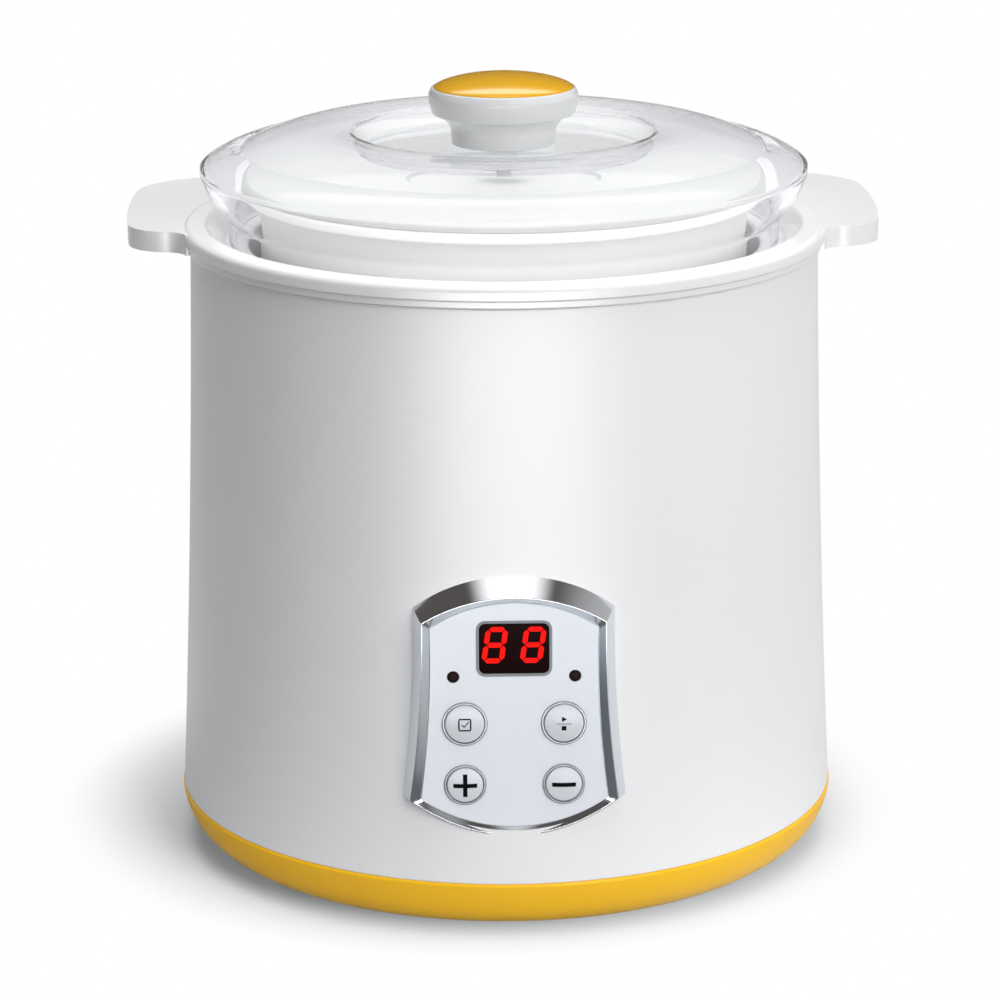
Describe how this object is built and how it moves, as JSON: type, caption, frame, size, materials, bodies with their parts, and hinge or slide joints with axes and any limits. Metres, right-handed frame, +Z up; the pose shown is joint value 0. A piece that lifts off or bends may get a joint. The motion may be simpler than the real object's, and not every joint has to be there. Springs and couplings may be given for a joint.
{
  "type": "yogurt maker",
  "caption": "Round countertop yogurt maker with a heated well, lift-out tub, clear domed lid with a knob, and a front control panel with a display and keys.",
  "frame": {"origin": "on the floor under the middle of the base", "axes": "+Z up, the control panel looks along -Y, the ears lie along X"},
  "size_m": [0.2046, 0.182, 0.2102],
  "materials": {
    "white_shell": "satin gloss",
    "white_rim": "gloss",
    "yellow_base": "satin gloss",
    "yellow_inlay": "gloss",
    "tub_white": "satin",
    "clear_plastic": "clear gloss",
    "bezel_chrome": "polished",
    "ring_chrome": "satin",
    "panel_silver": "satin",
    "key_white": "satin",
    "smoke_window": "gloss",
    "display_black": "matt",
    "led_dark": "gloss",
    "foot_rubber": "matt",
    "screw_steel": "plain",
    "heater_aluminium": "plain",
    "heater_mica": "matt",
    "board_green": "satin",
    "switch_black": "matt",
    "coil_yellow": "satin",
    "relay_blue": "satin",
    "inlet_black": "satin",
    "pin_brass": "polished",
    "lead_white": "satin",
    "lead_grey": "satin"
  },
  "bodies": {
    "housing": {"outer_shell": "white_shell", "well_liner": "white_rim", "base_tray": "yellow_base", "rubber_feet": "foot_rubber", "base_screws": "screw_steel", "panel_bezel": "bezel_chrome", "panel_face": "panel_silver", "display_window": "smoke_window", "display_module": "display_black", "indicator_leds": "led_dark", "button_rings": "ring_chrome", "control_board": "board_green", "tact_switches": "switch_black", "board_screws": "screw_steel", "heater_plate": "heater_aluminium", "heater_ring": "heater_mica", "heater_clips": "screw_steel", "heater_screws": "screw_steel", "thermal_fuse": "heater_aluminium", "temperature_sensor": "heater_aluminium", "power_board": "board_green", "power_board_screws": "screw_steel", "transformer": "coil_yellow", "relay": "relay_blue", "filter_capacitor": "switch_black", "power_inlet": "inlet_black", "inlet_pins": "pin_brass", "inlet_leads": "lead_white", "heater_leads": "lead_white", "sensor_leads": "lead_white", "ribbon_cable": "lead_grey"},
    "tub": {"tub": "tub_white"},
    "tub_lid": {"tub_lid": "tub_white"},
    "lid": {"clear_lid": "clear_plastic", "lid_knob": "white_rim", "knob_cap": "yellow_inlay", "knob_washer": "screw_steel", "knob_screw": "screw_steel"},
    "function_key": {"function_button": "key_white", "function_plunger": "switch_black"},
    "start_key": {"start_button": "key_white", "start_plunger": "switch_black"},
    "plus_key": {"plus_button": "key_white", "plus_plunger": "switch_black"},
    "minus_key": {"minus_button": "key_white", "minus_plunger": "switch_black"}
  },
  "joints": [
    {"name": "tub_lift", "type": "slide", "parent": "housing", "child": "tub", "axis": [0, 0, 1], "range_m": [0, 0.155]},
    {"name": "tub_lid_lift", "type": "slide", "parent": "tub", "child": "tub_lid", "axis": [0, 0, 1], "range_m": [0, 0.03]},
    {"name": "lid_lift", "type": "slide", "parent": "tub_lid", "child": "lid", "axis": [0, 0, 1], "range_m": [0, 0.06]},
    {"name": "function_press", "type": "slide", "parent": "housing", "child": "function_key", "axis": [0, 1, 0], "range_m": [0, 0.0004], "stiffness_N_per_m": 2000},
    {"name": "start_press", "type": "slide", "parent": "housing", "child": "start_key", "axis": [0, 1, 0], "range_m": [0, 0.0004], "stiffness_N_per_m": 2000},
    {"name": "plus_press", "type": "slide", "parent": "housing", "child": "plus_key", "axis": [0, 1, 0], "range_m": [0, 0.0004], "stiffness_N_per_m": 2000},
    {"name": "minus_press", "type": "slide", "parent": "housing", "child": "minus_key", "axis": [0, 1, 0], "range_m": [0, 0.0004], "stiffness_N_per_m": 2000}
  ]
}
